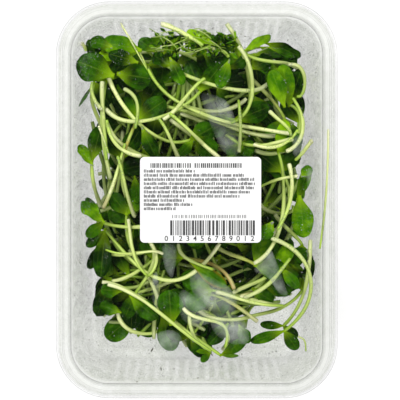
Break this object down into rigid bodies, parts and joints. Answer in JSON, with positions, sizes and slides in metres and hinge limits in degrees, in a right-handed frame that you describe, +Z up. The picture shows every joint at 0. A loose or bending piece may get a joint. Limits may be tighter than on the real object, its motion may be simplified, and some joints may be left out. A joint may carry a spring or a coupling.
{
  "type": "sunflower microgreens tray",
  "caption": "Closed clear plastic tray with a tapered fluted wall, a clear lid with a raised rim bead and a plain label, filled with cut sunflower microgreens.",
  "frame": {"origin": "on the surface the tray stands on, under the middle of its stand ring", "axes": "+Z up, +Y along the tray's length, +X across it towards the right of the label as it is read"},
  "size_m": [0.132, 0.186, 0.058],
  "materials": {
    "tray_plastic": "gloss",
    "lid_plastic": "gloss",
    "label_paper": "matte",
    "greens": "satin"
  },
  "bodies": {
    "root": {"tray": "tray_plastic", "lid": "lid_plastic", "label": "label_paper", "tuft_1": "greens", "tuft_2": "greens", "tuft_3": "greens", "tuft_4": "greens", "tuft_5": "greens", "tuft_6": "greens", "tuft_7": "greens", "sprout_under_top": "greens", "sprout_round_right": "greens", "sprout_low_right": "greens", "sprout_inner_right": "greens", "sprout_pair_right": "greens", "sprout_steep_right": "greens", "sprout_corner_left": "greens", "sprout_edge_left": "greens", "sprout_side_left": "greens", "sprout_low_left": "greens", "sprout_corner_right": "greens", "sprout_pale_top": "greens", "sprout_beside_label": "greens", "sprout_upright_left": "greens", "sprout_long_left": "greens", "sprout_level_left": "greens", "sprout_cross_low": "greens", "sprout_hook_left": "greens", "sprout_loop_low": "greens", "sprout_upright_low": "greens", "sprout_curl_low": "greens", "sprout_long_low": "greens", "sprout_pinkish": "greens", "sprout_level_right": "greens", "sprout_back_right": "greens", "sprout_twin_lower": "greens", "sprout_twin_upper": "greens", "sprout_rusty": "greens", "sprout_below_label": "greens", "sprout_from_top": "greens", "sprout_arch_right": "greens", "sprout_long_upper": "greens", "sprout_broad_middle": "greens", "sprout_to_label": "greens", "sprout_to_label_left": "greens", "sprout_broad_left": "greens", "sprout_brown_left": "greens", "sprout_long_cream": "greens", "sprout_upper_swag": "greens", "sprout_top_swag": "greens", "sprout_hook_right": "greens", "sprout_bow_right": "greens", "sprout_lower_swag": "greens", "sprout_from_label": "greens", "sprout_long_diagonal": "greens", "sprout_low_bow": "greens", "sprout_thread": "greens", "sprout_offcut_right": "greens", "sprout_offcut_top": "greens", "sprout_caught": "greens"}
  },
  "joints": []
}
